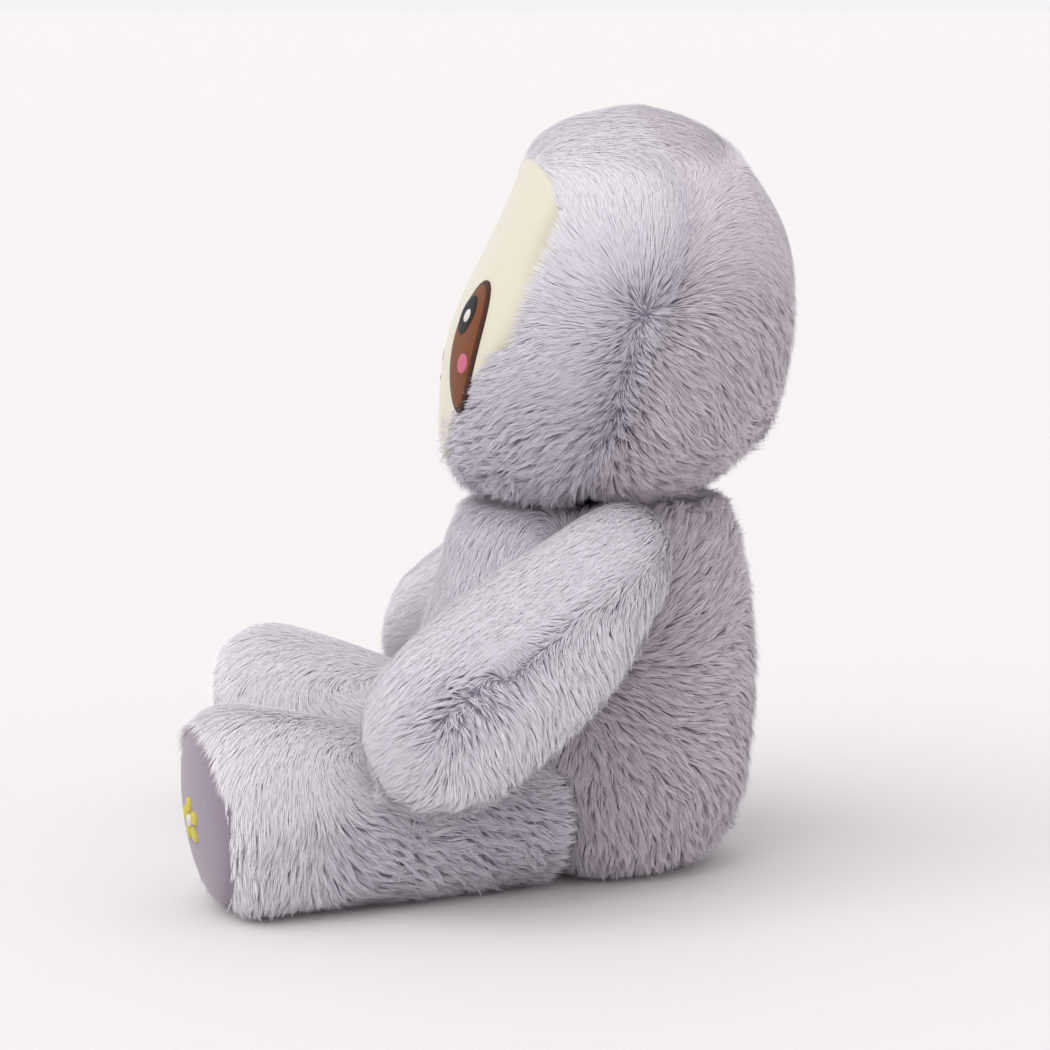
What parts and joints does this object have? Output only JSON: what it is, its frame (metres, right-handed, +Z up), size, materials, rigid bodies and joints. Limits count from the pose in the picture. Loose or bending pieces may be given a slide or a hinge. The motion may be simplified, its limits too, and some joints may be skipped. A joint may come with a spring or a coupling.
{
  "type": "stuffed toy",
  "caption": "Seated plush sloth with a smooth pale face, turning and nodding head, flat swinging arms and outstretched legs.",
  "frame": {"origin": "on the floor, under the middle of the seated toy's box", "axes": "+Z up, -Y the way the toy looks, +X its left side"},
  "size_m": [0.2446, 0.2334, 0.295],
  "materials": {
    "plush_light": "long soft pile",
    "plush_mauve": "long soft pile",
    "face_cloth": "short brushed nap",
    "pad_cloth": "short pile",
    "fibre_fill": "loose fibre",
    "bag_cloth": "plain weave",
    "brown_thread": "satin stitch",
    "black_thread": "satin stitch",
    "white_thread": "satin stitch",
    "pink_thread": "satin stitch",
    "yellow_thread": "satin stitch",
    "seam_cloth": "plain"
  },
  "bodies": {
    "trunk": {"belly_panel": "plush_light", "back_panel_left": "plush_mauve", "back_panel_right": "plush_mauve", "seat_panel": "plush_mauve", "trunk_fill": "fibre_fill", "pellet_bag": "bag_cloth", "closing_stitches": "seam_cloth"},
    "neck": {"neck_seam": "seam_cloth"},
    "head": {"face_panel": "face_cloth", "hood_panel": "plush_light", "chin_panel": "plush_light", "cheek_panel_left": "plush_light", "cheek_panel_right": "plush_light", "head_back_left": "plush_mauve", "head_back_right": "plush_mauve", "head_fill": "fibre_fill", "nose_embroidery": "brown_thread", "mouth_embroidery": "brown_thread", "eye_patch_left": "brown_thread", "eye_patch_right": "brown_thread", "eye_left": "black_thread", "eye_right": "black_thread", "eye_glint_left": "white_thread", "eye_glint_right": "white_thread", "blush_left": "pink_thread", "blush_right": "pink_thread"},
    "shoulder_left": {"shoulder_seam_left": "seam_cloth"},
    "arm_left": {"arm_outer_left": "plush_light", "arm_inner_left": "plush_light", "arm_fill_left": "fibre_fill"},
    "hip_left": {"hip_seam_left": "seam_cloth"},
    "leg_left": {"leg_top_left": "plush_light", "leg_under_left": "plush_light", "leg_fill_left": "fibre_fill", "foot_pad_left": "pad_cloth", "petals_left": "yellow_thread", "flower_centre_left": "white_thread"},
    "shoulder_right": {"shoulder_seam_right": "seam_cloth"},
    "arm_right": {"arm_outer_right": "plush_light", "arm_inner_right": "plush_light", "arm_fill_right": "fibre_fill"},
    "hip_right": {"hip_seam_right": "seam_cloth"},
    "leg_right": {"leg_top_right": "plush_light", "leg_under_right": "plush_light", "leg_fill_right": "fibre_fill", "foot_pad_right": "pad_cloth", "petals_right": "yellow_thread", "flower_centre_right": "white_thread"}
  },
  "joints": [
    {"name": "neck_turn", "type": "hinge", "parent": "trunk", "child": "neck", "pos_m": [0, 0.04475, 0.146], "axis": [0, 0, 1], "range_deg": [-40, 40]},
    {"name": "neck_nod", "type": "hinge", "parent": "neck", "child": "head", "pos_m": [0, 0.04475, 0.146], "axis": [1, 0, 0], "range_deg": [-8, 6], "stiffness_Nm_per_rad": 1},
    {"name": "arm_left_raise", "type": "hinge", "parent": "trunk", "child": "shoulder_left", "pos_m": [0.0392, 0.05071, 0.14536], "axis": [0, -1, 0], "range_deg": [0, 12], "stiffness_Nm_per_rad": 0.6},
    {"name": "arm_left_swing", "type": "hinge", "parent": "shoulder_left", "child": "arm_left", "pos_m": [0.04957, 0.05071, 0.132], "axis": [-0.866, 0, -0.5], "range_deg": [-20, 16]},
    {"name": "leg_left_splay", "type": "hinge", "parent": "trunk", "child": "hip_left", "pos_m": [0.046, 0.01171, 0.027], "axis": [0, 0, 1], "range_deg": [-10, 0]},
    {"name": "leg_left_flex", "type": "hinge", "parent": "hip_left", "child": "leg_left", "pos_m": [0.046, 0.01171, 0.027], "axis": [-0.9397, -0.342, 0], "range_deg": [-25, 0]},
    {"name": "arm_right_raise", "type": "hinge", "parent": "trunk", "child": "shoulder_right", "pos_m": [-0.0392, 0.05071, 0.14536], "axis": [0, 1, 0], "range_deg": [0, 12], "stiffness_Nm_per_rad": 0.6},
    {"name": "arm_right_swing", "type": "hinge", "parent": "shoulder_right", "child": "arm_right", "pos_m": [-0.04957, 0.05071, 0.132], "axis": [-0.866, 0, 0.5], "range_deg": [-20, 16]},
    {"name": "leg_right_splay", "type": "hinge", "parent": "trunk", "child": "hip_right", "pos_m": [-0.046, 0.01171, 0.027], "axis": [0, 0, -1], "range_deg": [-10, 0]},
    {"name": "leg_right_flex", "type": "hinge", "parent": "hip_right", "child": "leg_right", "pos_m": [-0.046, 0.01171, 0.027], "axis": [-0.9397, 0.342, 0], "range_deg": [-25, 0]}
  ]
}
